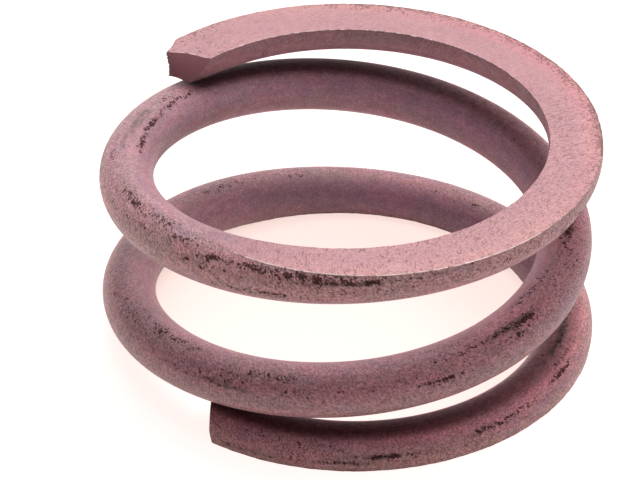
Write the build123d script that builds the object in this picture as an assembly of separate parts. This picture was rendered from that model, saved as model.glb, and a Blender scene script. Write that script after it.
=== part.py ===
"""Servo piston spring: a short, stiff compression spring with closed and ground ends.

Round wire is wound right-handed into not quite three turns. Each end turn lies level and almost
shut against the next one, and is ground flat square to the axis, so that the wire thins to a
crescent with a flat face to sit on. Between the end turns the wire climbs at a full, even pitch.
The spring is drawn in a little at its waist, as wire that is bent to one curvature all along is
where it climbs. Both wire ends are left as the cutting tool sheared them.

The frame: origin on the axis in the plane of the bottom ground face, +Z up the axis. Places along
the wire are given in turns from the bottom tip, angles counter-clockwise from +X seen from above.
"""
import os
from math import ceil, cos, pi, radians, sin

from build123d import *

# Wire and coil, in millimetres and turns
wire_diameter = 5.26
outside_diameter = 48.9
free_height = 22.4
turns = 2.724
top_tip_angle = 137.9

# Closed and ground ends: what grinding leaves of the wire at each tip, the play between each tip
# and the turn beside it, and the stretch over which the wire leaves the level for the full pitch
bottom_tip_thickness = 3.4
top_tip_thickness = 3.4
bottom_tip_play = 0.25
top_tip_play = 0.2
bottom_ramp = 0.21
top_ramp = 0.4

# Waist: how much the mean radius shrinks, where along the wire, and how far that reaches each way
waist_depth = 0.55
waist_place = 1.336
waist_reach = 0.75

# The bottom tip curls in a little
curl_depth = 0.5
curl_reach = 0.14

# Sheared tips: the last bit of wire is straight and cut at a slant. At the top the outer side
# stands ahead, with a torn lip outside the point; at the bottom the inner side stands ahead
straight_end = 1.2
shear_angle = 30
lip_angle = 63
top_point_ahead = 1.7
lip_width = 1.05

# Flat that the shear pressed into the top tip's inner underside: how it leans from upright, how
# deep it lies at the tip, how it runs out towards the bore in plan, and how far it is followed
pressed_lean = 31
pressed_depth = 1.2
pressed_run_out = 24
pressed_ahead = 1.3
pressed_back = 5

# How finely the wire's centre line is set out, and into how many spans it is cut
stations_per_turn = 20
spans_per_turn = 3

wire_radius = wire_diameter / 2
end_radius = (outside_diameter - wire_diameter) / 2
bottom_level = bottom_tip_thickness - wire_radius
top_level = free_height - top_tip_thickness + wire_radius
bottom_rise = wire_diameter + bottom_tip_play
top_rise = wire_diameter + top_tip_play
pitch = (top_level - bottom_level - bottom_rise - top_rise) / (turns - 2)


def rise_from_tip(away, first_turn_rise, ramp):
    """Height gained at so many turns away from a tip.

    The wire is level at first, gains slope smoothly over the ramp, and then climbs at the full
    pitch. The ramp is placed so that one whole turn away from the tip it has gained
    first_turn_rise, which is the wire's diameter and the play at the tip.
    """
    ramp_start = 1 - first_turn_rise / pitch - ramp / 2
    share = min(max((away - ramp_start) / ramp, 0), 1)
    past_ramp = max(away - ramp_start - ramp, 0)
    return pitch * (ramp * (share**3 - share**4 / 2) + past_ramp)


def height_at(place):
    """Height of the wire's centre line, each half reckoned from its own tip."""
    if place < turns / 2:
        return bottom_level + rise_from_tip(place, bottom_rise, bottom_ramp)
    return top_level - rise_from_tip(turns - place, top_rise, top_ramp)


def mean_radius_at(place):
    """Distance of the wire's centre line from the axis, with the waist and the curled tip."""
    off_waist = min(abs(place - waist_place) / waist_reach, 1)
    waist = waist_depth * (1 + cos(pi * off_waist)) / 2
    curl = curl_depth * max(1 - place / curl_reach, 0) ** 2
    return end_radius - waist - curl


def centre_point(place):
    """Point of the wire's centre line at a place along the wire."""
    angle = radians(top_tip_angle) - 2 * pi * (turns - place)
    radius = mean_radius_at(place)
    return Vector(radius * cos(angle), radius * sin(angle), height_at(place))


def centre_line():
    """The wound part of the centre line, from one straight end to the other.

    One smooth spline is cut into spans, so that no face of the wire runs far round the coil.
    """
    end = straight_end / (2 * pi * end_radius)
    steps = ceil(stations_per_turn * turns)
    places = [end + (turns - 2 * end) * step / steps for step in range(steps + 1)]
    whole = Spline(*[centre_point(place) for place in places])
    spans = ceil(spans_per_turn * turns)
    return Wire([whole.trim(span / spans, (span + 1) / spans) for span in range(spans)])


def wire_section(point, direction):
    """Round section of the wire, square to a direction, with its seam at the wire's underside."""
    return Plane(origin=point, x_dir=(0, 0, -1), z_dir=direction) * Circle(wire_radius)


def tip_axes(tip_place, direction):
    """Centre of the wire at a tip, with level unit vectors ahead of the tip and outward."""
    tip = centre_point(tip_place)
    outward = Vector(tip.X, tip.Y, 0).normalized()
    ahead = Vector(direction.X, direction.Y, 0)
    return tip, (ahead - outward * ahead.dot(outward)).normalized(), outward


def sheared_end(start, direction, tip_place, corner, inner_angle, outer_angle):
    """Straight last bit of wire, trimmed by two upright cuts that meet at a corner.

    The corner is given as (ahead, outward) from the wire's centre at the tip. Each cut leans from
    the radial direction by its angle, set back where the angle is positive.
    """
    tip, ahead, outward = tip_axes(tip_place, direction)
    far = 2 * wire_diameter

    def plan(forward, out):
        return tip + ahead * forward + outward * out

    def along_cut(angle, side):
        forward = corner[0] - far * sin(radians(angle))
        return plan(forward, corner[1] + side * far * cos(radians(angle)))

    outline = Polyline(
        along_cut(inner_angle, -1), plan(*corner), along_cut(outer_angle, 1),
        plan(2 * far, 2 * far), plan(2 * far, -2 * far), close=True)
    beyond = extrude(make_face(outline), amount=wire_diameter, dir=(0, 0, 1), both=True)
    stub = extrude(wire_section(start, direction), amount=far, dir=direction)
    return stub - beyond


def pressed_away(direction):
    """Wedge that the shear pressed away from the top tip's inner underside.

    Its section is what lies inward of a leaning line, down to the wire's underside. Carried back
    and towards the bore, it leaves the round wire again after a few millimetres.
    """
    tip, ahead, outward = tip_axes(turns, direction)
    lean = radians(pressed_lean)
    run_out = radians(pressed_run_out)

    def line_at(up):
        return -((wire_radius - pressed_depth) + up * sin(lean)) / cos(lean)

    top = wire_radius / 2
    section = Polyline(
        (line_at(top), top), (line_at(-wire_radius), -wire_radius),
        (-wire_diameter, -wire_radius), (-wire_diameter, top), close=True)
    back = -ahead * cos(run_out) - outward * sin(run_out)
    start = tip - back * pressed_ahead
    face = Plane(origin=start, x_dir=outward, z_dir=-ahead) * make_face(section)
    return extrude(face, amount=pressed_ahead + pressed_back, dir=back)


def spring():
    """The whole spring: wound wire, both sheared ends, the pressed flat and two ground faces."""
    line = centre_line()
    wound = sweep(wire_section(line @ 0, line % 0), path=line, is_frenet=True)
    top_corner = (top_point_ahead, wire_radius - lip_width)
    bottom_corner = (0, wire_radius)
    top_end = sheared_end(line @ 1, line % 1, turns, top_corner, shear_angle, lip_angle)
    bottom_end = sheared_end(line @ 0, -(line % 0), 0, bottom_corner, -shear_angle, shear_angle)
    wire = wound + top_end + bottom_end - pressed_away(line % 1)
    ground_height = Box(
        2 * outside_diameter, 2 * outside_diameter, free_height,
        align=(Align.CENTER, Align.CENTER, Align.MIN))
    return wire & ground_height


os.makedirs("parts", exist_ok=True)
export_step(spring(), "parts/servo_piston_spring.step")
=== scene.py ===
"""Looks of a servo piston spring: the dyed, ground steel coil on a plain white table."""
from math import cos, pi, radians, sin, tan

import bpy
import numpy as np
from mathutils import Matrix, Vector


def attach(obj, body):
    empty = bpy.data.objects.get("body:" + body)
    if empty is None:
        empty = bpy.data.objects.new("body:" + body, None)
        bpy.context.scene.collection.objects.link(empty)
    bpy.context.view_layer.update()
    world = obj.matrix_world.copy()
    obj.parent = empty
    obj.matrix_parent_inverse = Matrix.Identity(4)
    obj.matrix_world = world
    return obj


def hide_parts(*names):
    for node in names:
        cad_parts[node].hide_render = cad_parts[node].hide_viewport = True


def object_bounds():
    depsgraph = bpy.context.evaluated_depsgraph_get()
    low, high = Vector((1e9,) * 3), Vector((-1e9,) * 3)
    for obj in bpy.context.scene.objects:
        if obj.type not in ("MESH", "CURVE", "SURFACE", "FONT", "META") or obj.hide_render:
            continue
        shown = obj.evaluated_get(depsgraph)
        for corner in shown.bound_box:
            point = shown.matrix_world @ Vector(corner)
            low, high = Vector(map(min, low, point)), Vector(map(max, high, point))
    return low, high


bl_info = {
    "name": "Servo piston spring",
    "version": (1, 0, 0),
    "blender": (4, 5, 0),
    "location": "View3D > Sidebar > Spring",
    "description": "Builds a closed and ground compression spring with its dyed steel finish",
    "category": "Add Mesh",
}

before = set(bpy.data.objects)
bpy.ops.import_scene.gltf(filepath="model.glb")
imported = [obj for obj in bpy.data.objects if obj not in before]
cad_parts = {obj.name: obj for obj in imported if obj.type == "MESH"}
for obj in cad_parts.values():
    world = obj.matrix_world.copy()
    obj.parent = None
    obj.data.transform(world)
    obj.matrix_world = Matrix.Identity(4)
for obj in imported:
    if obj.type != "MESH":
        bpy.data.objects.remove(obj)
cad_low, cad_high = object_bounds()

# How the wire is wound, in millimetres and turns. Places are turns from the bottom tip
TIP_THICKNESS = 3.4
BOTTOM_PLAY = 0.25
TOP_PLAY = 0.2
BOTTOM_RAMP = 0.21
TOP_RAMP = 0.4
WAIST_DEPTH = 0.55
WAIST_PLACE = 1.336
WAIST_REACH = 0.75
CURL_DEPTH = 0.5
CURL_REACH = 0.14
STRAIGHT_END = 1.2

# How the top tip is sheared, in millimetres and degrees: the cut, its point and the rounding
# behind it, the torn lip, the hollow over the height, the dish across it, and the leaning foot
SHEAR_ANGLE = 30
POINT_AHEAD = 2.03
ROUNDING_DEPTH = 0.15
ROUNDING_REACH = 0.35
LIP_WIDTH = 1.14
LIP_ANGLE = 63
LIP_STEP = 0.55
LIP_NEEDLE = 0.2
LIP_LEAN = 0.04
HOLLOW_DEPTH = 0.27
HOLLOW_LEVEL = -0.9
DISH_DEPTH = 0.37
DISH_MIDDLE = -0.1
HOLLOW_REACH = 1.65
FOOT_LEAN = 0.03
FOOT_TWIST = 0.125
FOOT_LIMITS = (-0.05, 0.15)

# Flat that the shear pressed into the top tip's inner underside, and the turns that it can reach
PRESSED_LEAN = 29
PRESSED_DEPTH = 0.8
PRESSED_RUN_OUT = 15
PRESSED_TURNS = 0.06

# How the bottom tip's cut is torn back below a level of the section
TORN_DEPTH = 0.3
TORN_LEVEL = 0.55
TORN_REACH = 1.3

# How finely the skin is divided: rows along the wire, cells across the outer side, each cap and
# the inner side, rings on a cut face, the least half angle of a cap, the width of the cell by its
# edge, and the angle between faces from which their edge is sharp
ROWS = 1120
OUTER_CELLS = 26
CAP_CELLS = 16
INNER_CELLS = 22
CUT_RINGS = 14
LEAST_CAP = radians(6)
EDGE_LOOP = 0.1
SHARP_EDGE = radians(24)

# First columns of the top cap, the inner side and the bottom cap
TOP_CAP = OUTER_CELLS
INNER_SIDE = TOP_CAP + CAP_CELLS
BOTTOM_CAP = INNER_SIDE + INNER_CELLS

# Wire over which the rows move with a cut, and steps in which they and a line find it
CUT_INFLUENCE = 6
ROW_STEPS = 5
LINE_STEPS = 8

# Height of the burr, half angles of the flat over which it comes up, and its wavelengths
BURR = 0.06
BURR_FLATS = (radians(14), radians(30))
BURR_WAVES = (0.9, 1.37, 2.3, 3.9, 7.1)

# The smooth skin is drawn in a little, so that it stays inside the CAD part's facets
INSET = 0.002

# Where the camera stood, found by fitting the coil to the photograph
CAMERA_DISTANCE = 368.7
CAMERA_AIM = 11.78
CAMERA_ELEVATION = 34.158
CAMERA_PAN = -0.434
CAMERA_TILT = -0.251
CAMERA_ROLL = 1.038
CAMERA_LENS = 211.26

# Soft lights overhead, high behind, high at the right and low behind: degrees round from +X,
# degrees up, sharpness and level. A light falls off from its middle as the exponential of its
# sharpness times the cosine less one
SOFT_LIGHTS = ((0, 90, 25, 4.1), (90, 65, 25, 5.3), (30, 65, 25, 4.5), (90, 12, 6, 0.8))

# How the camera sees the white table, in linear colours and metres: painted shade and painted pink
# bounce light from the dye inside the coil, and a painted peach tint that shows outside it where
# the table is in shadow
TABLE_INSIDE = (0.84, 0.655, 0.595)
TABLE_OUTSIDE = (1.0, 0.86, 0.83)
TABLE_MIDDLE = (0, 0.003, 0)
INSIDE_REACH = 0.0202
INSIDE_FADE = 0.0022
TABLE_REACH = 3


class CoilSizes(bpy.types.PropertyGroup):
    """Sizes of the coil that its user may set."""
    wire: bpy.props.FloatProperty(
        name="Wire diameter", description="Diameter of the round spring wire",
        default=0.00526, min=0.001, subtype="DISTANCE", unit="LENGTH", precision=5)
    outside: bpy.props.FloatProperty(
        name="Outside diameter", description="Diameter over the end turns",
        default=0.0489, min=0.01, subtype="DISTANCE", unit="LENGTH", precision=5)
    height: bpy.props.FloatProperty(
        name="Free height", description="Height over both ground faces",
        default=cad_high.z, min=0.005, subtype="DISTANCE", unit="LENGTH", precision=5)
    turns: bpy.props.FloatProperty(
        name="Turns", description="Turns of wire from tip to tip",
        default=2.724, min=2.3)
    top_tip: bpy.props.FloatProperty(
        name="Top tip", description="Direction of the top tip, counter-clockwise from +X",
        default=radians(137.9), subtype="ANGLE", unit="ROTATION")


class DyeColours(bpy.types.PropertyGroup):
    """Colours of the dyed steel that its user may set."""
    dye: bpy.props.FloatVectorProperty(
        name="Dye", description="Fresh dye on the wire", subtype="COLOR",
        default=(0.50, 0.255, 0.295), min=0, max=1)
    faded: bpy.props.FloatVectorProperty(
        name="Faded dye", description="Dye that is rubbed thin, with grey steel behind it",
        subtype="COLOR", default=(0.42, 0.245, 0.27), min=0, max=1)
    ground: bpy.props.FloatVectorProperty(
        name="Ground face", description="Dye over the ground faces", subtype="COLOR",
        default=(0.65, 0.345, 0.365), min=0, max=1)
    scale: bpy.props.FloatVectorProperty(
        name="Dark flakes", description="Scale and old oil where the dye has come off",
        subtype="COLOR", default=(0.046, 0.014, 0.013), min=0, max=1)
    # Undyed steel on the burrs, painted bright as glints
    bare_steel_and_glint: bpy.props.FloatVectorProperty(
        name="Bare steel", description="Bright burrs on the ground edges", subtype="COLOR",
        default=(0.88, 0.68, 0.65), min=0, max=1)


def rise_from_tip(away, first_turn_rise, ramp, pitch):
    """Height gained at so many turns from a tip.

    Level at first, then a slope that grows by a smooth step over the ramp, then the full pitch.
    One turn from the tip it has gained first_turn_rise.
    """
    start = 1 - first_turn_rise / pitch - ramp / 2
    share = np.clip((away - start) / ramp, 0, 1)
    past = np.maximum(away - start - ramp, 0)
    return pitch * (ramp * (share**3 - share**4 / 2) + past)


def smooth_step(value, low, high):
    """Zero up to low, one from high on, and 3t^2 - 2t^3 between them."""
    share = np.clip((value - low) / (high - low), 0, 1)
    return share * share * (3 - 2 * share)


def parabola(offset, reach):
    """One at offset zero, down to zero at the reach to either side, as 1 - (offset / reach)^2."""
    return np.maximum(1 - (offset / reach)**2, 0)


class WoundWire:
    """One coil's wire in millimetres: its centre line, its section and its two cuts."""

    def __init__(self, sizes):
        self.radius = sizes.wire * 1000 / 2
        self.end_radius = (sizes.outside - sizes.wire) * 1000 / 2 - INSET
        self.height = sizes.height * 1000
        self.turns = sizes.turns
        self.top_tip = sizes.top_tip
        self.turn_length = 2 * pi * self.end_radius
        self.end = STRAIGHT_END / self.turn_length
        self.bottom_level = TIP_THICKNESS - self.radius
        self.top_level = self.height - TIP_THICKNESS + self.radius
        self.bottom_rise = 2 * self.radius + BOTTOM_PLAY
        self.top_rise = 2 * self.radius + TOP_PLAY
        climb = self.top_level - self.bottom_level - self.bottom_rise - self.top_rise
        self.pitch = climb / (self.turns - 2)

    def coil_point(self, place):
        """Centre line of the coil.

        Its angle grows by a whole turn for each turn of place. Its height is reckoned from the
        nearer tip. Its radius is that of the end turns, less a waist shaped like a raised
        cosine, less a parabola over the bottom tip.
        """
        up = self.bottom_level + rise_from_tip(place, self.bottom_rise, BOTTOM_RAMP, self.pitch)
        down = self.top_level - rise_from_tip(
            self.turns - place, self.top_rise, TOP_RAMP, self.pitch)
        z = np.where(place < self.turns / 2, up, down)
        off_waist = np.minimum(np.abs(place - WAIST_PLACE) / WAIST_REACH, 1)
        curl = CURL_DEPTH * np.maximum(1 - place / CURL_REACH, 0)**2
        radius = self.end_radius - WAIST_DEPTH * (1 + np.cos(pi * off_waist)) / 2 - curl
        angle = self.top_tip - 2 * pi * (self.turns - place)
        return np.stack([radius * np.cos(angle), radius * np.sin(angle), z], -1)

    def axes_at(self, place):
        """Centre, and unit vectors ahead, outward and upward, straight beyond the wound part."""
        wound = np.clip(place, self.end, self.turns - self.end)
        centre = self.coil_point(wound)
        ahead = self.coil_point(wound + 1e-4) - self.coil_point(wound - 1e-4)
        ahead /= np.linalg.norm(ahead, axis=-1, keepdims=True)
        outward = centre * (1, 1, 0)
        outward -= ahead * np.sum(outward * ahead, -1, keepdims=True)
        outward /= np.linalg.norm(outward, axis=-1, keepdims=True)
        upward = np.cross(outward, ahead)
        centre = centre + ahead * ((place - wound) * self.turn_length)[..., None]
        return centre, ahead, outward, upward

    def flat_angles(self, place):
        """Half the angle of the section that each ground flat takes at a place, top and bottom.

        It is the arc whose cosine is the flat's distance from the centre over the radius.
        """
        centre, _, _, upward = self.axes_at(place)
        lift = self.radius * upward[..., 2]
        top = np.arccos(np.clip((self.height - centre[..., 2]) / lift, -1, 1))
        bottom = np.arccos(np.clip(centre[..., 2] / lift, -1, 1))
        return top, bottom

    def skin_point(self, place, out, up):
        """Point of space at a place along the wire, so far outward and upward of its centre."""
        centre, _, outward, upward = self.axes_at(place)
        return centre + outward * out[..., None] + upward * up[..., None]

    def tip_frame(self, top):
        """Wire's centre at a tip, with level unit vectors ahead of the tip and outward."""
        tip = self.coil_point(np.array(float(self.turns if top else 0)))
        outward = np.array([tip[0], tip[1], 0]) / np.hypot(tip[0], tip[1])
        side = 1 if top else -1
        return tip, side * np.array([-outward[1], outward[0], 0]), outward

    def pressed(self, place, out, up):
        """Section with the flat that the shear pressed into the top tip's inner underside.

        A point past a plane is moved back onto it, square to the wire. The plane leans from
        upright, lies so deep at the tip, and runs out into the round towards the bore.
        """
        tip, ahead, outward = self.tip_frame(True)
        lean, run_out = radians(PRESSED_LEAN), radians(PRESSED_RUN_OUT)
        normal = -outward * cos(lean) + ahead * cos(lean) * tan(run_out)
        normal = normal - np.array([0, 0, sin(lean)])
        offset = self.skin_point(place, out, up) - tip
        past = np.maximum(offset @ normal - (self.radius - PRESSED_DEPTH), 0)
        past = np.where(place > self.turns - PRESSED_TURNS, past, 0)
        return out + past * cos(lean), up + past * sin(lean)

    def cut_place(self, out, up, top):
        """Place where a line along the wire meets the cut beyond a tip, found by repeated steps.

        Seen from above the top cut is a line up to a point near the outer side, rounded behind
        it, then a very steep line and a less steep one. One parabola hollows it over its height
        and another dishes it across. Below the ground face it leans back by a slope that grows
        outward. The bottom cut is a line with its inner side ahead, torn back low down.
        """
        tip, ahead, outward = self.tip_frame(top)
        side = 1 if top else -1
        place = np.full(out.shape, float(self.turns if top else 0))
        for _ in range(LINE_STEPS):
            offset = self.skin_point(place, out, up) - tip
            reach = offset @ outward
            if top:
                below = TIP_THICKNESS - self.radius - up
                corner = self.radius - LIP_WIDTH + LIP_LEAN * below
                inner = (corner - reach) * tan(radians(SHEAR_ANGLE))
                rounding = np.clip((corner - reach) / ROUNDING_REACH, 0, 1)
                inner = inner + ROUNDING_DEPTH * rounding
                needle = (reach - corner) * (LIP_STEP / LIP_NEEDLE + tan(radians(LIP_ANGLE)))
                outer = LIP_STEP + (reach - corner) * tan(radians(LIP_ANGLE))
                hollow = HOLLOW_DEPTH * parabola(up - HOLLOW_LEVEL, HOLLOW_REACH)
                dish = DISH_DEPTH * parabola(reach - DISH_MIDDLE, HOLLOW_REACH)
                lean = np.clip(FOOT_LEAN + FOOT_TWIST * reach, *FOOT_LIMITS) * below
                back = np.maximum(inner, np.minimum(needle, outer))
                cut = POINT_AHEAD - back - hollow - dish - lean
            else:
                torn = TORN_DEPTH * np.clip((TORN_LEVEL - up) / TORN_REACH, 0, 1)
                cut = (self.radius - reach) * tan(radians(SHEAR_ANGLE)) - torn
            place = place + side * (cut - offset @ ahead) / self.turn_length
        return place


def spread(low, high, cells, loop):
    """Angles from low to high: one narrow cell at each end and even cells between them."""
    narrow = np.minimum(loop, (high - low) / 5)
    share = np.linspace(0, 1, cells - 1)
    middle = (low + narrow)[..., None] + (high - low - 2 * narrow)[..., None] * share
    return np.concatenate([low[..., None], middle], -1)


def section_grid(wire, place):
    """Angles round the section at each place, and half the angle of its two flats.

    The angles run once round from the bottom flat's outer edge: outer side, top cap, inner side
    and bottom cap.
    """
    flat_top, flat_bottom = wire.flat_angles(place)
    top = np.maximum(flat_top, LEAST_CAP)
    bottom = np.maximum(flat_bottom, LEAST_CAP)
    loop = EDGE_LOOP / wire.radius
    angle = np.concatenate([
        spread(bottom - pi / 2, pi / 2 - top, OUTER_CELLS, loop),
        spread(pi / 2 - top, pi / 2 + top, CAP_CELLS, loop),
        spread(pi / 2 + top, 3 * pi / 2 - bottom, INNER_CELLS, loop),
        spread(3 * pi / 2 - bottom, 3 * pi / 2 + bottom, CAP_CELLS, loop),
    ], -1)
    return angle, flat_top, flat_bottom


def ragged(length):
    """Uneven height of a burr along its edge, a sum of sines of unlike wavelengths."""
    total = sum(np.sin(2 * pi * length / wave + 11 * wave) for wave in BURR_WAVES)
    return np.clip(0.45 + total / len(BURR_WAVES), 0, 1)


class CoilSkin:
    """Grid of the coil's skin, rows along the wire and columns round it, with its two faces."""

    def __init__(self, wire):
        self.wire = wire
        row = np.linspace(0, wire.turns, ROWS)
        angle, flat_top, flat_bottom = section_grid(wire, row)
        angle = self.with_point(angle, row)
        # Each line along the wire is drawn out or back to the cut, less and less away from it
        reach = CUT_INFLUENCE / wire.turn_length
        near_top = np.maximum(1 - (wire.turns - row) / reach, 0)[:, None]**2
        near_bottom = np.maximum(1 - row / reach, 0)[:, None]**2
        place = np.broadcast_to(row[:, None], angle.shape)
        for _ in range(ROW_STEPS):
            out, up = wire.pressed(place, *self.clipped(angle, place))
            top_shift = wire.cut_place(out[-1], up[-1], True) - wire.turns
            bottom_shift = wire.cut_place(out[0], up[0], False)
            place = row[:, None] + near_top * top_shift + near_bottom * bottom_shift
        out, up = wire.pressed(place, *self.clipped(angle, place))
        # A thin burr leans out over the edges of the ground flats
        length = place * wire.turn_length
        edges = np.zeros(angle.shape[1])
        edges[[0, TOP_CAP]] = 1
        edges[[INNER_SIDE, BOTTOM_CAP]] = -1
        flat = np.where(np.sin(angle) > 0, flat_top[:, None], flat_bottom[:, None])
        out = out + BURR * ragged(length) * smooth_step(flat, *BURR_FLATS) * edges
        self.place, self.angle, self.out, self.up = place, angle, out, up
        self.flat_top, self.flat_bottom, self.flat = flat_top, flat_bottom, flat
        self.points = wire.skin_point(place, out, up)
        self.points[..., 2] = np.clip(self.points[..., 2], 0, wire.height)

    def with_point(self, angle, row):
        """Angles with columns on the cut's point and beside it, above and below, near the top tip.

        The columns about them move along, less and less over three columns and the wire that
        the cut influences.
        """
        wire = self.wire
        corner = np.arccos((wire.radius - LIP_WIDTH) / wire.radius)
        step = np.arccos((wire.radius - LIP_WIDTH + LIP_NEEDLE) / wire.radius)
        behind = (wire.turns - row) * wire.turn_length
        near = np.maximum(1 - behind / CUT_INFLUENCE, 0)[:, None]
        column = np.arange(angle.shape[1])
        for side in (1, -1):
            nearest = np.argmin(np.abs(angle[-1] - side * corner))
            for target, there, reach in ((corner, nearest, 3), (step, nearest - side, 1)):
                bell = np.maximum(1 - np.abs(column - there) / reach, 0)
                angle = angle + near * bell * (side * target - angle[-1, there])
        return angle

    def clipped(self, angle, place):
        """Outward and upward distance at an angle of the circle, clipped by the ground planes."""
        wire = self.wire
        centre, _, outward, upward = wire.axes_at(place)
        out = wire.radius * np.cos(angle)
        up = wire.radius * np.sin(angle)
        lift = upward[..., 2]
        highest = (wire.height - centre[..., 2] - out * outward[..., 2]) / lift
        lowest = -(centre[..., 2] + out * outward[..., 2]) / lift
        return out, np.clip(up, lowest, highest)

    def cut_rings(self, top):
        """Points, places and sections of rings that shrink to one point on a cut face.

        The rim itself is left out, because it belongs to the skin.
        """
        edge = -1 if top else 0
        rim_out, rim_up = self.out[edge], self.up[edge]
        middle_out, middle_up = rim_out.mean(), rim_up.mean()
        scale = np.linspace(1, 0, CUT_RINGS + 1)[1:-1, None]
        out = np.append((middle_out + (rim_out - middle_out) * scale).ravel(), middle_out)
        up = np.append((middle_up + (rim_up - middle_up) * scale).ravel(), middle_up)
        place = self.wire.cut_place(out, up, top)
        return self.wire.skin_point(place, out, up), place, out, up


def ring_cells(first, second):
    """Quads between closed rings of point numbers, ring by ring."""
    cells = np.stack([first, np.roll(first, -1, -1), np.roll(second, -1, -1), second], -1)
    return cells.reshape(-1, 4)


def make_coil(context):
    """Coil's skin, and the rings that close each cut face.

    Gives the wire, its skin, every point with its place and section, the quads, the skin's
    first, and the triangles in the middle of the cut faces.
    """
    wire = WoundWire(context.scene.coil_sizes)
    skin = CoilSkin(wire)
    rows, columns = skin.angle.shape
    grid = np.arange(rows * columns).reshape(rows, columns)
    parts = [(skin.points.reshape(-1, 3), skin.place.ravel(), skin.out.ravel(), skin.up.ravel())]
    quads = [ring_cells(grid[:-1], grid[1:])[:, ::-1]]
    fans = []
    count = grid.size
    for top in (False, True):
        parts.append(skin.cut_rings(top))
        rings = count + np.arange((CUT_RINGS - 1) * columns).reshape(CUT_RINGS - 1, columns)
        rings = np.concatenate([grid[-1:] if top else grid[:1], rings])
        pole = count + (CUT_RINGS - 1) * columns
        cells = ring_cells(rings[:-1], rings[1:])
        fan = np.stack([rings[-1], np.roll(rings[-1], -1), np.full(columns, pole)], -1)
        quads.append(cells if top else cells[:, ::-1])
        fans.append(fan if top else fan[:, ::-1])
        count = pole + 1
    values = [np.concatenate(part) for part in zip(*parts)]
    return wire, skin, values, np.concatenate(quads), np.concatenate(fans)


def mesh_from(name, points, quads, triangles):
    """Mesh of quads and triangles whose points are given in millimetres."""
    mesh = bpy.data.meshes.new(name)
    corners = np.concatenate([quads.ravel(), triangles.ravel()])
    sides = np.concatenate([np.full(len(quads), 4), np.full(len(triangles), 3)])
    starts = np.concatenate([[0], np.cumsum(sides)[:-1]])
    mesh.vertices.add(len(points))
    mesh.loops.add(len(corners))
    mesh.polygons.add(len(sides))
    mesh.vertices.foreach_set("co", (points / 1000).ravel())
    mesh.loops.foreach_set("vertex_index", corners)
    mesh.polygons.foreach_set("loop_start", starts)
    mesh.polygons.foreach_set("loop_total", sides)
    mesh.update()
    if mesh.validate():
        raise RuntimeError("the coil's mesh has faults")
    return mesh


def add_field(mesh, name, values, domain="POINT"):
    """Number for each point or face of a mesh, for a material to read."""
    field = mesh.attributes.new(name, "FLOAT", domain)
    field.data.foreach_set("value", np.ascontiguousarray(values, dtype=np.float32))


class Shade:
    """A shader socket that reads like a number: arithmetic on it adds Math nodes."""

    def __init__(self, finish, socket):
        self.finish = finish
        self.socket = socket

    def math(self, operation, *others):
        return self.finish.math(operation, self, *others)

    def __add__(self, other):
        return self.math("ADD", other)

    __radd__ = __add__

    def __sub__(self, other):
        return self.math("SUBTRACT", other)

    def __rsub__(self, other):
        return self.finish.math("SUBTRACT", other, self)

    def __mul__(self, other):
        return self.math("MULTIPLY", other)

    __rmul__ = __mul__

    def __abs__(self):
        return self.math("ABSOLUTE")

    def most(self, other):
        return self.math("MAXIMUM", other)

    def above(self, low, width):
        """Zero up to low and one from low + width on, with a smooth step between them."""
        inputs = {0: self, 1: low, 2: low + width}
        return self.finish.node("ShaderNodeMapRange", {"interpolation_type": "SMOOTHSTEP"}, inputs)


class Finish:
    """Nodes of one new material, or of a world that is given, written as expressions."""

    def __init__(self, name, world=None):
        self.material = world or bpy.data.materials.new(name)
        self.material.use_nodes = True
        self.nodes = self.material.node_tree.nodes
        self.links = self.material.node_tree.links
        self.nodes.clear()

    def node(self, kind, settings=None, inputs=None, output=0):
        """One node: its settings first, then the values or links of its sockets."""
        node = self.nodes.new(kind)
        for name, value in (settings or {}).items():
            setattr(node, name, value)
        for key, value in (inputs or {}).items():
            if isinstance(value, Shade):
                self.links.new(value.socket, node.inputs[key])
            else:
                node.inputs[key].default_value = value
        return Shade(self, node.outputs[output]) if len(node.outputs) else node

    def math(self, operation, *values):
        return self.node("ShaderNodeMath", {"operation": operation}, dict(enumerate(values)))

    def field(self, name, output=2):
        """Number that the mesh carries under this name, or a vector as output 1."""
        return self.node("ShaderNodeAttribute", {"attribute_name": name}, output=output)

    def part(self, vector, axis):
        """One part of a vector, by number."""
        return self.node("ShaderNodeSeparateXYZ", None, {0: vector}, axis)

    def joined(self, x, y, z):
        return self.node("ShaderNodeCombineXYZ", None, {0: x, 1: y, 2: z})

    def stretch(self, vector, factors):
        """Vector times factors along its three axes."""
        return self.node(
            "ShaderNodeVectorMath", {"operation": "MULTIPLY"}, {0: vector, 1: factors})

    def noise(self, vector, scale, detail=2.0, roughness=0.5, distortion=0.0):
        inputs = {"Vector": vector, "Scale": scale, "Detail": detail, "Roughness": roughness}
        return self.node("ShaderNodeTexNoise", None, inputs | {"Distortion": distortion})

    def cells(self, vector, scale):
        """Distance to the nearest scattered point."""
        return self.node("ShaderNodeTexVoronoi", None, {"Vector": vector, "Scale": scale})

    def mix(self, factor, first, second):
        """First colour where the factor is 0, second where it is 1."""
        def whole(colour):
            return colour if isinstance(colour, Shade) else (*colour[:3], 1)
        inputs = {0: factor, 6: whole(first), 7: whole(second)}
        return self.node("ShaderNodeMix", {"data_type": "RGBA"}, inputs, 2)

    def tint(self, colour, factor, tint):
        """Colour times a tint, as far as the factor goes."""
        return self.stretch(colour, self.mix(factor, (1, 1, 1), tint))

    def dim(self, colour, factor):
        """Colour times a number."""
        return self.node(
            "ShaderNodeVectorMath", {"operation": "SCALE"}, {0: colour, "Scale": factor})


# Along the wire, outward and upward parts of the direction across the slanting grain
SLANT = (1, -0.25, 0.25)
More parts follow.
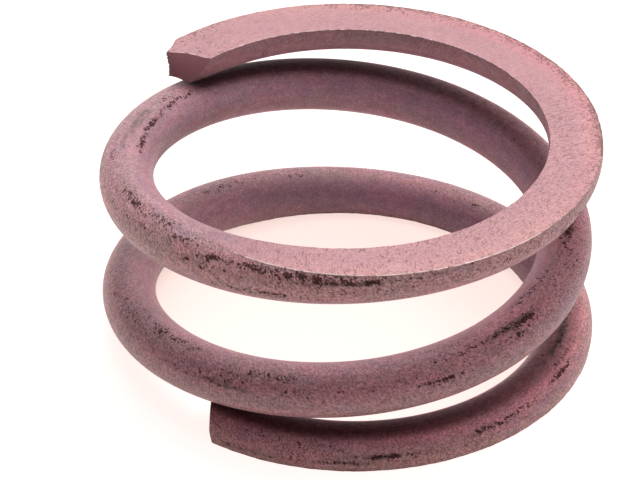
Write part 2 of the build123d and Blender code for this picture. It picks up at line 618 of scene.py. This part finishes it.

# Flakes and grime on the wire. The patches on the top and upper inner side, from about 80 to 125
# degrees, lie in the nips between turns and also paint the shade there. Each patch is a place in
# turns, an angle round the wire in degrees from its outermost line, a length in millimetres, a
# width in degrees and a strength
FLAKE_AND_NIP_SHADE_PATCHES = (
    (1.755, 116, 5, 9, 0.8), (1.8, 120, 4, 9, 0.9), (1.828, 121, 3, 9, 1),
    (1.76, 98, 2.5, 8, 0.6), (1.85, 60, 4, 14, 0.5), (1.915, 64, 4, 16, 0.75),
    (1.945, 66, 4, 22, 0.6), (1.975, 52, 5, 20, 0.55), (1.945, 38, 3, 10, 0.6),
    (2.005, 36, 4, 12, 0.75), (2.035, 38, 4, 10, 0.95), (2.065, 30, 5, 14, 0.9),
    (2.095, 20, 5, 11, 0.8), (2.125, 18, 5, 10, 0.6), (2.17, 17, 5, 9, 0.3),
    (2.22, 14, 5, 8, 0.25), (2.275, 16, 6, 8, 0.3),
    (1.99, 15, 6, 14, 0.5), (2.04, -18, 6, 12, 0.65), (2.26, -18, 5, 12, 0.55),
    (2.12, 0, 20, 14, 0.4), (2.2, -2, 20, 16, 0.4),
    (0.9, 60, 10, 24, 0.45), (0.955, 78, 6, 16, 0.6), (0.99, 30, 8, 22, 0.45),
    (1.015, 45, 5, 22, 0.5), (1.04, 58, 5, 14, 0.65), (1.07, 30, 9, 22, 0.35),
    (1.12, 38, 8, 26, 0.35), (1.155, 20, 4, 10, 0.7), (1.16, 60, 4, 14, 0.5),
    (1.2, 62, 5, 18, 0.65), (1.225, 56, 3.5, 14, 0.75), (1.22, 40, 4, 10, 0.6),
    (1.25, 96, 5, 12, 0.7), (1.33, 84, 5, 20, 0.8), (1.29, 60, 7, 24, 0.45),
    (1.1, 5, 24, 16, 0.3), (1.155, 88, 8, 14, 0.4),
    (0.03, 2, 6, 12, 0.55), (0.088, 6, 4, 8, 0.75), (0.115, 18, 3, 7, 0.95),
    (0.138, 12, 4, 9, 0.5), (0.19, 30, 3, 10, 0.75), (0.212, 36, 3, 9, 0.7),
    (0.262, 44, 2.5, 8, 1), (0.27, 62, 4, 12, 0.5), (0.06, 35, 10, 20, 0.4),
    (0.285, 86, 4, 12, 0.6), (0.315, 90, 4, 12, 0.5), (0.26, 100, 6, 10, 0.5),
    (1.455, 118, 7, 16, 0.3), (1.51, 125, 5, 10, 0.2), (0.7, 100, 7, 14, 0.5),
    (0.64, 104, 5, 10, 0.45), (0.5, 110, 7, 12, 0.4),
    (1.87, 22, 16, 34, 0.34), (0.87, 55, 12, 40, 0.29), (0.03, 10, 14, 26, 0.32),
    (0.12, 10, 16, 22, 0.32), (1.15, 30, 30, 26, 0.27), (2.06, 10, 16, 30, 0.34),
    (0.46, 20, 7, 14, 0.6), (0.55, -10, 9, 16, 0.5), (0.61, 30, 5, 12, 0.8),
    (0.7, 5, 8, 16, 0.55), (0.74, 40, 4, 10, 0.6),
    (1.45, 22, 8, 14, 0.6), (1.53, -15, 7, 14, 0.55), (1.6, 28, 5, 11, 0.85),
    (1.67, 0, 9, 18, 0.5), (1.73, 38, 6, 13, 0.65),
    (2.4, 8, 6, 11, 0.6), (2.47, -20, 7, 14, 0.55), (2.56, 12, 6, 10, 0.8),
    (2.64, -8, 5, 12, 0.5),
)
GRIME_AND_NIP_SHADE_PATCHES = (
    (1.8, 92, 5, 16, 0.8), (1.83, 82, 4, 12, 0.7), (1.94, 78, 4, 14, 0.5),
    (2.07, 18, 6, 9, 0.7), (2.1, 16, 4, 7, 0.9), (2.15, 17, 5, 7, 0.6),
    (2.1, -10, 14, 22, 0.45), (1.00, 24, 6, 12, 0.7), (1.02, 20, 3, 8, 0.9),
    (1.05, -5, 12, 18, 0.4), (1.215, 62, 5, 11, 1), (1.155, 20, 4, 8, 0.6),
    (1.18, 0, 10, 16, 0.5), (1.33, 82, 4, 12, 0.8), (0.29, 88, 6, 13, 1),
    (0.09, 4, 4, 8, 0.7), (0.112, 17, 3, 6, 0.9), (0.03, 0, 6, 10, 0.6),
    (0.61, 26, 5, 9, 0.8), (0.52, -15, 10, 18, 0.45), (1.6, 24, 5, 9, 0.9),
    (1.47, 15, 9, 14, 0.5), (1.7, -10, 8, 16, 0.45), (2.56, 8, 5, 8, 0.8),
    (2.45, -15, 9, 16, 0.45),
)

# Broad tints of the dye, in the same terms: rosy where it is fresh, mauve on the inner side, and
# lighter tan, most on the outermost line and the underside. The pale patches are a painted
# highlight, paler and greyer where more light falls on parts of the outer and inner sides
ROSY_PATCHES = (
    (0.17, 62, 42, 42, 1), (1.32, 70, 26, 45, 0.85), (1.02, 32, 34, 22, 0.6),
    (0.05, 30, 16, 30, 0.6), (0.62, 15, 26, 36, 0.7), (1.46, 20, 22, 36, 0.7),
    (2.44, 20, 18, 30, 0.5),
)
MAUVE_PATCHES = (
    (0.55, 152, 26, 32, 1), (1.5, 150, 30, 32, 1), (1.66, 150, 14, 30, 0.9),
)
TAN_PATCHES = (
    (2.08, 2, 34, 40, 1), (1.86, 2, 26, 34, 1), (1.02, -22, 36, 22, 0.7),
    (0.33, 40, 10, 60, 0.7), (0.1, -8, 34, 26, 1), (2.32, 30, 8, 26, 0.4),
    (0.57, 98, 30, 12, 0.5), (0.8, 25, 14, 30, 0.6), (0.5, -22, 26, 24, 0.8),
    (1.6, -20, 32, 26, 0.8), (2.56, -2, 24, 30, 0.8),
)
# Painted highlights, paler and greyer, where more light falls on the outer and inner sides
PAINTED_HIGHLIGHT_PATCHES = (
    (2.4, 180, 12, 45, 0.4), (2.66, 180, 8, 45, 0.1), (1.68, 150, 8, 34, 0.4),
    (0.08, -6, 40, 16, 0.36), (1.85, 4, 16, 17, 0.42), (0.85, 15, 12, 26, 0.34),
    (0.32, 52, 9, 22, 0.3),
)
PATCHES = {
    "flakes": FLAKE_AND_NIP_SHADE_PATCHES, "grime": GRIME_AND_NIP_SHADE_PATCHES, "rosy": ROSY_PATCHES,
    "mauve": MAUVE_PATCHES, "tan": TAN_PATCHES, "pale": PAINTED_HIGHLIGHT_PATCHES,
}

# Colours that aren't the user's to set, and tints that a colour is multiplied by, all linear
RICH_DYE = (0.50, 0.225, 0.26)
COOL_DYE = (0.40, 0.235, 0.30)
OLIVE_GRAIN = (0.30, 0.205, 0.15)
DULL_GROUND = (0.60, 0.325, 0.352)
SCRATCH = (0.27, 0.11, 0.11)
PIT = (0.19, 0.09, 0.08)
CHIP = (0.80, 0.56, 0.55)
# Grime, which also paints the shade in the nips between turns
GRIME_AND_NIP_SHADE = (0.062, 0.046, 0.034)
SCUFF = (0.70, 0.48, 0.47)
DOT = (0.13, 0.052, 0.048)
RED_SPECK = (0.55, 0.12, 0.17)
# Near black of the oil and painted shade in the nips between turns
NIP_SHADE_AND_OIL = (0.026, 0.010, 0.014)
# Painted shadow beside the burr on a crumbled edge
BURR_SHADOW = (0.13, 0.08, 0.07)
CUT_FACE = (0.46, 0.205, 0.25)
TORN_FACE = (0.56, 0.265, 0.30)
TORN_LIP = (0.36, 0.25, 0.25)
ROSY_TINT = (1.2, 0.86, 0.92)
MAUVE_TINT = (0.95, 0.98, 1.14)
TAN_TINT = (1.22, 1.17, 1.05)
# Painted highlight: paler and greyer
PAINTED_HIGHLIGHT_TINT = (1.7, 1.7, 1.65)
DARK_GRAIN_TINT = (1.04, 0.86, 0.865)
PALE_GRAIN_TINT = (0.95, 1.05, 1.04)

# Axis that the grinding wheel's scratches run about, in millimetres
WHEEL_X = 30
WHEEL_Y = -22

# Edge distance in millimetres where no flat is ground, half angles of a ground flat over which
# its edge, its colour and its wear come in, and the least one that crumbles
FAR_FROM_EDGE = 9.0
EDGED_FLATS = (radians(5), radians(14))
GROUND_FLATS = (radians(5), radians(9))
WORN_FLATS = (radians(12), radians(55))
CRUMBLED_FLAT = radians(20)

# Stretches of the top flat's edges, in turns, over which each comes in and goes out: the burr's
# undyed steel with its painted glint on the outer edge and on the inner one, with its strength,
# and the most crumbled edge, with its reach on the flat and off it in millimetres
OUTER_BURR = (1.99, 2.03, 2.2, 2.27)
INNER_BURR = (2.38, 2.46)
INNER_BURR_STRENGTH = 0.75
MOST_CRUMBLED = (2.26, 2.34, 2.55, 2.66)
CRUMBLED_ON_FLAT = 1.3
CRUMBLED_OFF_FLAT = 0.35


def patchy(wire, place, angle, patches):
    """Greatest of the patches: each is its strength times a bell of place and angle."""
    total = np.zeros(place.shape)
    for patch_place, degrees, length, width, strength in patches:
        along = (place - patch_place) * wire.turn_length / length
        around = angle - radians(degrees)
        around = (around + pi) % (2 * pi) - pi
        bell = strength * np.exp(-along**2 - (around / radians(width))**2)
        total = np.maximum(total, bell)
    return total


def nip_shade_and_oil(wire, place, angle):
    """Painted shade and oil in the nip between turns, strongest where they nearly touch.

    On the upper side it is a band, by smooth steps of the sine of the angle and of the gap in
    millimetres. On the underside it is the sine cubed times an exponential of the gap.
    """
    total = np.zeros(place.shape)
    here = wire.coil_point(place)
    for side in (1, -1):
        other = place + side
        gap = np.linalg.norm(wire.coil_point(other) - here, axis=-1) - 2 * wire.radius
        facing = np.clip(side * np.sin(angle), 0, 1)
        if side > 0:
            band = smooth_step(facing, 0.74, 0.96) * (1 - smooth_step(gap, 1.5, 6.5))
        else:
            band = 0.6 * facing**3 * np.exp(-np.maximum(gap, 0) / 1.6)
        beyond = np.maximum(np.maximum(-other, other - wire.turns), 0)
        fade = np.clip(1 - beyond * wire.turn_length / 2, 0, 1)
        total = np.maximum(total, fade * band)
    return total


def edge_distance(wire, skin):
    """Distance in millimetres to the nearest edge of a ground flat, negative off the flats.

    On a flat it is the half width less the way out from its middle, and on the round it is the
    arc from the flat's edge. Where no ground flat is left it is far.
    """
    distance = np.full(skin.angle.shape, -FAR_FROM_EDGE)
    for flat, middle in ((skin.flat_top, pi / 2), (skin.flat_bottom, -pi / 2)):
        turn = np.abs((skin.angle - middle + pi) % (2 * pi) - pi)
        arc = wire.radius * (flat[:, None] - turn)
        across = wire.radius * (np.sin(flat[:, None]) - np.sin(np.minimum(turn, pi / 2)))
        here = np.where(arc > 0, across, arc)
        here = here - FAR_FROM_EDGE * (1 - smooth_step(flat[:, None], *EDGED_FLATS))
        distance = np.maximum(distance, here)
    return distance


def stretch_of(place, start, full, waning, end):
    """Smooth step up from start to full, times one down from waning to end."""
    return smooth_step(place, start, full) * (1 - smooth_step(place, waning, end))


def edge_fields(wire, skin):
    """Wear by the edges of the ground flats: values on the skin's grid, and on the cut faces.

    A flat is worn where it is wide, and a burr of undyed steel, painted bright as a glint, shows
    along stretches of the top flat's edges.
    The dye has crumbled there by a bell of the distance to the edge, on the inner side only off
    the flat. The tip's distance is along the wire in millimetres.
    """
    place = skin.place
    distance = edge_distance(wire, skin)
    on_flat = distance > 0
    outer = np.cos(skin.angle) > 0
    upper = np.sin(skin.angle) > 0
    inner_burr = INNER_BURR_STRENGTH * smooth_step(place, *INNER_BURR)
    burr = np.where(outer, stretch_of(place, *OUTER_BURR), inner_burr)
    bell = np.exp(-(distance / np.where(on_flat, CRUMBLED_ON_FLAT, CRUMBLED_OFF_FLAT))**2)
    most = 0.25 + 0.75 * stretch_of(place, *MOST_CRUMBLED)
    crumbled = most * bell * upper * (skin.flat > CRUMBLED_FLAT)
    to_tip = (place[-1] - place) * wire.turn_length
    return {
        "edge": (distance, -FAR_FROM_EDGE),
        "crumbled": (crumbled * np.where(outer, 1, 0.6 * ~on_flat), 0),
        "worn_flat": (smooth_step(skin.flat, *WORN_FLATS), 0),
        "burr": (burr * upper, 0),
        "tip": (np.minimum(to_tip, FAR_FROM_EDGE), FAR_FROM_EDGE),
    }


def face_fields(skin, faces):
    """Share of ground flat of each face of the mesh, and one on the cut faces, which come last."""
    rows, columns = skin.angle.shape
    ground = np.zeros((rows - 1, columns))
    for flat, cap in (
            (skin.flat_top, slice(TOP_CAP, INNER_SIDE)),
            (skin.flat_bottom, slice(BOTTOM_CAP, None))):
        middle = (flat[1:] + flat[:-1]) / 2
        ground[:, cap] = smooth_step(middle, *GROUND_FLATS)[:, None]
    sheared = np.arange(faces) >= ground.size
    return {"ground": np.append(ground, np.zeros(faces - ground.size)), "sheared": sheared}


def dyed_wire(f, wire, colours):
    """Dye that is thicker and thinner in clouds drawn out along the wire.

    Gives its colour, the clouds and the smaller blotches.
    """
    clouds = f.noise(f.stretch(wire, (0.35, 1, 1)), 0.32, 3)
    colour = f.mix(clouds.above(0.35, 0.3), colours.faded, colours.dye)
    tints = f.noise(f.stretch(wire, (0.45, 1, 1)), 0.85, 3, 0.6, 0.3)
    colour = f.mix(tints.above(0.54, 0.12) * 0.45, colour, RICH_DYE)
    colour = f.mix((1 - tints.above(0.36, 0.12)) * 0.6, colour, COOL_DYE)
    blotches = f.noise(f.stretch(wire, (0.6, 1, 1)), 1.3, 3, 0.65)
    return f.dim(colour, 0.66 + 0.68 * blotches), clouds, blotches


def ground_face(f, clouds, crumbled, colours):
    """Ground face: pinker, with short arc-shaped scratches about the grinding wheel's axis.

    Brown pits and pale chips lie by its outer edge and the tip. Gives its colour, the scratches,
    the pits, and how coarsely it is worked, which is less at the back.
    """
    place = f.stretch(f.node("ShaderNodeTexCoord", output=3), (1000, 1000, 1000))
    x = f.part(place, 0) - WHEEL_X
    y = f.part(place, 1) - WHEEL_Y
    away = f.math("SQRT", x * x + y * y)
    arcs = f.joined(f.math("ARCTAN2", y, x) * 36, away * 4.6, 0.0)
    worked = 1 - 0.65 * f.part(place, 1).above(2, 12)
    scratch_groups = f.noise(place, 0.7, 2).above(0.38, 0.16) * worked
    scratches = f.noise(arcs, 1.0, 2, 0.65).above(0.545, 0.07) * scratch_groups
    colour = f.mix(clouds.above(0.4, 0.3), DULL_GROUND, colours.ground)
    colour = f.dim(colour, 0.84 + 0.34 * f.noise(place, 1.9, 3, 0.75))
    colour = f.mix(scratches * 0.68, colour, SCRATCH)
    pitted = 0.42 * (crumbled * f.noise(place, 1.1, 2)) + 0.09 * (1 - f.field("tip").above(4, 4))
    pits = (f.noise(place, 3.2, 3, 0.7) + pitted - 0.66).above(0, 0.08)
    colour = f.mix(pits * 0.7, colour, PIT)
    chips = f.noise(f.stretch(place, (1, -1, 1)), 4.6, 2, 0.6) + 0.12 * crumbled
    colour = f.mix((chips - 0.67).above(0, 0.08) * 0.5, colour, CHIP)
    return colour, scratches, pits, worked


def flakes_oil_and_nip_shade(f, colour, wire, slanting, grain, outer, whole, colours):
    """Grime, flakes in short slanting strokes that crowd in clusters, scuffs, specks, and oil with
    painted shade in the nips.

    Gives the colour, the flakes, and the oil with its painted shade.
    """
    # The grime and flakes fields also paint the shade where their patches lie in the nips between
    # turns
    smear = f.noise(f.stretch(wire, (0.5, 1, 1)), 2.4, 3, 0.6)
    grime_and_shade_mask = (f.field("grime") * 0.9 + 1.2 * smear + 0.6 * grain - 1.22).above(0, 0.55) * whole
    colour = f.mix(grime_and_shade_mask * 0.75, colour, GRIME_AND_NIP_SHADE)
    clusters = f.noise(f.stretch(wire, (0.7, 1, 1)), 1.5, 2, 0.6)
    lumps = f.noise(f.stretch(slanting, (1.05, 0.9, 0.9)), 1.9, 4, 0.75, 0.3)
    strokes = 0.45 * lumps + 0.55 * f.noise(f.stretch(slanting, (1.15, 0.9, 0.9)), 4.2, 3, 0.72)
    crowd = f.field("flakes") * (0.2 + 1.4 * clusters)
    flake_and_nip_shade = (strokes + 0.26 * crowd - 0.63).above(0, 0.05) * whole
    dots = (strokes + 0.09 * outer * (0.2 + clusters) - 0.645).above(0, 0.06) * whole
    scuffs = f.noise(f.stretch(wire, (0.8, -1, 1)), 3.4, 3, 0.72).above(0.57, 0.08) * outer * whole
    colour = f.mix(scuffs * 0.3, colour, SCUFF)
    colour = f.mix(dots * 0.55, colour, DOT)
    colour = f.mix(flake_and_nip_shade * 0.9, colour, colours.scale)
    # A few bright red specks of fresh dye
    speck = 1 - f.cells(wire, 0.55).above(0.08, 0.05)
    rare = f.noise(wire, 0.11, 1).above(0.55, 0.1)
    colour = f.mix(speck * 0.45 * rare, colour, RED_SPECK)
    # Painted shade and oil in the nip between turns, ragged where it ends
    nip = f.field("nip")
    ragged_end = f.noise(wire, 1.7, 4, 0.75) + 0.8 * grain - 0.9
    oil = (nip * (0.6 + 0.3 * smear) + 3.4 * ragged_end * nip * (1 - nip)).most(0)
    return f.mix(oil, colour, NIP_SHADE_AND_OIL), flake_and_nip_shade, oil


def cuts_and_burrs(f, colour, wire, ground, crumbled, fine, colours):
    """Painted shadow beside a crumbled edge, the sheared faces, and burrs of undyed steel in
    broken bits, painted bright as glints.

    A sheared face is darker and duller than the dye, and greyer on its torn lip. Gives the
    colour, the undyed steel with its painted glints, and the relief of the sheared faces.
    """
    edge = f.field("edge")
    sheared = f.field("sheared")
    # Painted shadow of the burr, in broken bits along a crumbled edge
    rim = f.noise(f.stretch(wire, (0.8, 1, 1)), 1.6, 2).above(0.42, 0.12) * crumbled
    rim = rim * (1 - abs(edge + 0.02).above(0.1, 0.1))
    colour = f.mix(rim * 0.75, colour, BURR_SHADOW)
    torn = f.noise(wire, 2.2, 4, 0.65)
    cut_colour = f.mix(torn, CUT_FACE, TORN_FACE)
    cut_colour = f.mix(f.part(wire, 1).above(0.95, 0.4) * 0.7, cut_colour, TORN_LIP)
    colour = f.mix(sheared, colour, f.dim(cut_colour, 0.75 + 0.5 * fine))
    # Undyed steel on the burrs and along the tip's ground edge, painted bright as glints
    broken = f.noise(f.stretch(wire, (1.5, 0.3, 0.3)), 2.0, 3, 0.75)
    on_edge = 1 - abs(edge + 0.01).above(0.035, 0.07)
    bare_steel_and_glint = (broken + 0.35 * f.field("burr") - 0.74).above(0, 0.1) * on_edge * (1 - sheared)
    tip_edge = ground * (1 - f.field("tip").above(0.07, 0.14))
    bare_steel_and_glint = bare_steel_and_glint.most(f.noise(wire, 2.4, 2, 0.6).above(0.49, 0.08) * tip_edge)
    return f.mix(bare_steel_and_glint, colour, colours.bare_steel_and_glint), bare_steel_and_glint, torn * sheared


def dye_finish(colours):
    """Dyed spring steel: mottled dye and fine grain, dark flakes, grime, oil and painted shade in
    the nips, painted highlights, burrs with painted glints, and ground faces.
    """
    f = Finish("dyed_steel")
    wire = f.field("unwound", 1)
    ground = f.field("ground")
    crumbled = f.field("crumbled")
    whole = 1 - ground
    outer = f.part(wire, 1).above(-1.6, 3.0)
    colour, clouds, blotches = dyed_wire(f, wire, colours)
    # Olive and brown shows through the dye, most on the outer side, and drawing left faint streaks
    olive = f.noise(wire, 1.5, 3, 0.6).above(0.44, 0.24) * f.noise(wire, 0.5, 2).above(0.4, 0.25)
    colour = f.mix(olive * whole * (0.16 + 0.32 * outer), colour, OLIVE_GRAIN)
    streaks = f.noise(f.stretch(wire, (0.07, 1.8, 1.8)), 1.5, 2, 0.6)
    colour = f.dim(colour, 1.0 - 0.07 * streaks.above(0.5, 0.15) * whole)

    face_colour, scratches, pits, worked = ground_face(f, clouds, crumbled, colours)
    colour = f.mix(ground * f.field("worn_flat"), colour, face_colour)
    colour = f.tint(colour, f.field("rosy"), ROSY_TINT)
    colour = f.tint(colour, f.field("mauve"), MAUVE_TINT)
    colour = f.tint(colour, f.field("tan"), TAN_TINT)
    # Painted highlight: paler, greyer patches where more light falls
    colour = f.tint(colour, f.field("pale") * whole, PAINTED_HIGHLIGHT_TINT)

    # Fine grain, slanting across the wire: deepest on the outer side, calm at the back of a flat,
    # and redder where it is dark
    slant = f.node("ShaderNodeVectorMath", {"operation": "DOT_PRODUCT"}, {0: wire, 1: SLANT}, 1)
    slanting = f.joined(slant, f.part(wire, 1), f.part(wire, 2))
    grain = f.noise(f.stretch(slanting, (1.1, 0.95, 0.95)), 4.6, 3, 0.75)
    speckle = grain.above(0.36, 0.28)
    fine = f.noise(wire, 9, 1, 0.5)
    depth = 0.38 + 0.50 * outer * whole + (0.36 * worked - 0.37) * ground
    colour = f.dim(colour, 1.0 + 0.15 * whole + depth * (speckle + 0.6 * fine - 0.8))
    colour = f.tint(colour, (1 - speckle) * (1 - 0.5 * ground), DARK_GRAIN_TINT)
    colour = f.tint(colour, speckle * whole, PALE_GRAIN_TINT)

    colour, flake_and_nip_shade, oil = flakes_oil_and_nip_shade(f, colour, wire, slanting, grain, outer, whole, colours)
    colour, bare_steel_and_glint, torn = cuts_and_burrs(f, colour, wire, ground, crumbled, fine, colours)
    rough = 0.36 + 0.12 * blotches + 0.12 * flake_and_nip_shade + 0.04 * ground - 0.1 * bare_steel_and_glint
    relief = (0.6 * speckle + 0.25 * fine + 0.5 * blotches - 0.8 * flake_and_nip_shade - 0.8 * scratches
              - 0.8 * pits + 0.8 * torn)
    bump = f.node("ShaderNodeBump", None, {
        "Strength": 0.5, "Distance": 0.00006, "Height": relief})
    shader = f.node("ShaderNodeBsdfPrincipled", None, {
        "Base Color": colour, "Roughness": rough, "Metallic": bare_steel_and_glint * 0.4, "Normal": bump,
        "IOR": 1.45})
    # The nip's oil and painted shade, and the scale, have no sheen
    dull = f.node("ShaderNodeBsdfPrincipled", None, {
        "Base Color": colour, "Roughness": 1.0, "Specular IOR Level": 0.0})
    both = f.node("ShaderNodeMixShader", None, {
        0: (oil * 0.75).most(flake_and_nip_shade * 0.9), 1: shader, 2: dull})
    f.node("ShaderNodeOutputMaterial", None, {"Surface": both})
    return f.material


class SPRING_OT_add_coil(bpy.types.Operator):
    """Add the wound, ground and sheared coil"""
    bl_idname = "spring.add_coil"
    bl_label = "Add coil"

    def execute(self, context):
        wire, skin, (points, place, out, up), quads, fans = make_coil(context)
        mesh = mesh_from("spring_coil", points, quads, fans)
        faces = len(mesh.polygons)
        mesh.polygons.foreach_set("use_smooth", np.ones(faces, dtype=bool))
        mesh.set_sharp_from_angle(angle=SHARP_EDGE)
        unwound = mesh.attributes.new("unwound", "FLOAT_VECTOR", "POINT")
        straight = np.stack([place * wire.turn_length, out, up], -1)
        unwound.data.foreach_set("vector", straight.astype(np.float32).ravel())
        angle = np.arctan2(up, out)
        add_field(mesh, "nip", nip_shade_and_oil(wire, place, angle))
        for name, patches in PATCHES.items():
            add_field(mesh, name, patchy(wire, place, angle, patches))
        for name, (values, on_cuts) in edge_fields(wire, skin).items():
            beyond = np.full(len(points) - values.size, on_cuts)
            add_field(mesh, name, np.append(values, beyond))
        for name, values in face_fields(skin, faces).items():
            add_field(mesh, name, values, "FACE")
        coil = bpy.data.objects.new("spring_coil", mesh)
        context.scene.collection.objects.link(coil)
        coat = dye_finish(context.scene.dye_colours)
        mesh.materials.append(coat)
        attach(coil, "root")
        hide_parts("servo_piston_spring")
        return {"FINISHED"}


def table_paint():
    """White table: the camera sees a glow, tinted by a smooth step of the distance from a middle,
    with painted shade and painted pink bounce light inside the coil, and a painted peach tint in
    the shadow outside.

    The soft shadow falls on a dull white under it. What it throws back on the spring is grey.
    """
    f = Finish("white_table")
    seen = f.node("ShaderNodeLightPath", output=0).most(f.node("ShaderNodeLightPath", output=3))
    place = f.node("ShaderNodeTexCoord", output=3)
    away = f.node(
        "ShaderNodeVectorMath", {"operation": "DISTANCE"}, {0: place, 1: TABLE_MIDDLE}, 1)
    tint = f.mix(away.above(INSIDE_REACH, INSIDE_FADE), TABLE_INSIDE, TABLE_OUTSIDE)
    grey = f.node("ShaderNodeBsdfDiffuse", None, {"Color": (0.8, 0.77, 0.75, 1)})
    white = f.node("ShaderNodeBsdfDiffuse", None, {"Color": (0.35, 0.35, 0.35, 1)})
    glow = f.node("ShaderNodeEmission", None, {"Color": tint, "Strength": 1.0})
    shown = f.node("ShaderNodeAddShader", None, {0: white, 1: glow})
    mixed = f.node("ShaderNodeMixShader", None, {0: seen, 1: grey, 2: shown})
    f.node("ShaderNodeOutputMaterial", None, {"Surface": mixed})
    return f.material


def soft_room():
    """Room with a few soft lights. The camera itself sees it white."""
    world = bpy.data.worlds.new("soft_room")
    world.use_nodes = True
    f = Finish("soft_room", world)
    way = f.node("ShaderNodeTexCoord")
    level = 0
    for azimuth, elevation, sharpness, strength in SOFT_LIGHTS:
        around, up = radians(azimuth), radians(elevation)
        middle = (cos(up) * cos(around), cos(up) * sin(around), sin(up))
        cosine = f.node(
            "ShaderNodeVectorMath", {"operation": "DOT_PRODUCT"}, {0: way, 1: middle}, 1)
        level = f.math("EXPONENT", (cosine - 1) * sharpness) * strength + level
    seen = f.node("ShaderNodeLightPath")
    backdrop = f.node("ShaderNodeBackground", None, {
        "Color": (1, 1, 1, 1), "Strength": seen.most(level)})
    f.node("ShaderNodeOutputWorld", None, {"Surface": backdrop})
    return world


def camera_axes():
    """Axes and place of the camera: raised, then panned, tilted and rolled, in that order."""
    elevation, pan, tilt, roll = (
        radians(a) for a in (CAMERA_ELEVATION, CAMERA_PAN, CAMERA_TILT, CAMERA_ROLL))
    back = Vector((0, -cos(elevation), sin(elevation)))
    place = Vector((0, 0, CAMERA_AIM)) + back * CAMERA_DISTANCE
    right = Vector((1, 0, 0))
    up = right.cross(-back)
    ahead = -back * cos(pan) + right * sin(pan)
    right = ahead.cross(up).normalized()
    ahead = ahead * cos(tilt) + up * sin(tilt)
    up = right.cross(ahead)
    rolled_right = right * cos(roll) + up * sin(roll)
    rolled_up = up * cos(roll) - right * sin(roll)
    return place / 1000, rolled_right, rolled_up, -ahead


class SPRING_OT_set_stage(bpy.types.Operator):
    """Set the white table, the lights and the camera"""
    bl_idname = "spring.set_stage"
    bl_label = "Set stage"

    def execute(self, context):
        scene = context.scene
        table = bpy.data.meshes.new("white_table")
        far = TABLE_REACH
        table.from_pydata(
            [(-far, -far, 0), (far, -far, 0), (far, far, 0), (-far, far, 0)], [], [(0, 1, 2, 3)])
        floor = bpy.data.objects.new("white_table", table)
        scene.collection.objects.link(floor)
        table.materials.append(table_paint())
        scene.world = soft_room()
        place, right, up, back = camera_axes()
        lens = bpy.data.cameras.new("camera")
        lens.sensor_width = 36
        lens.lens = CAMERA_LENS
        lens.clip_start = 0.01
        camera = bpy.data.objects.new("camera", lens)
        turn = Matrix((right, up, back)).transposed()
        camera.matrix_world = Matrix.Translation(place) @ turn.to_4x4()
        scene.collection.objects.link(camera)
        scene.camera = camera
        scene.view_settings.view_transform = "Standard"
        return {"FINISHED"}


class SPRING_PT_panel(bpy.types.Panel):
    """Sizes, colours and steps of the spring"""
    bl_idname = "SPRING_PT_panel"
    bl_label = "Servo piston spring"
    bl_space_type = "VIEW_3D"
    bl_region_type = "UI"
    bl_category = "Spring"

    def draw(self, context):
        layout = self.layout
        for group in (context.scene.coil_sizes, context.scene.dye_colours):
            for name in group.__annotations__:
                layout.prop(group, name)
        layout.operator(SPRING_OT_add_coil.bl_idname)
        layout.operator(SPRING_OT_set_stage.bl_idname)


CLASSES = (CoilSizes, DyeColours, SPRING_OT_add_coil, SPRING_OT_set_stage, SPRING_PT_panel)


def register():
    """Makes the classes and the two groups of settings known to Blender."""
    for cls in CLASSES:
        bpy.utils.register_class(cls)
    bpy.types.Scene.coil_sizes = bpy.props.PointerProperty(type=CoilSizes)
    bpy.types.Scene.dye_colours = bpy.props.PointerProperty(type=DyeColours)


def unregister():
    """Takes them away again."""
    del bpy.types.Scene.dye_colours
    del bpy.types.Scene.coil_sizes
    for cls in reversed(CLASSES):
        bpy.utils.unregister_class(cls)


def main():
    """Runs the operators in order."""
    register()
    bpy.ops.spring.add_coil()
    bpy.ops.spring.set_stage()


if __name__ == "__main__":
    main()
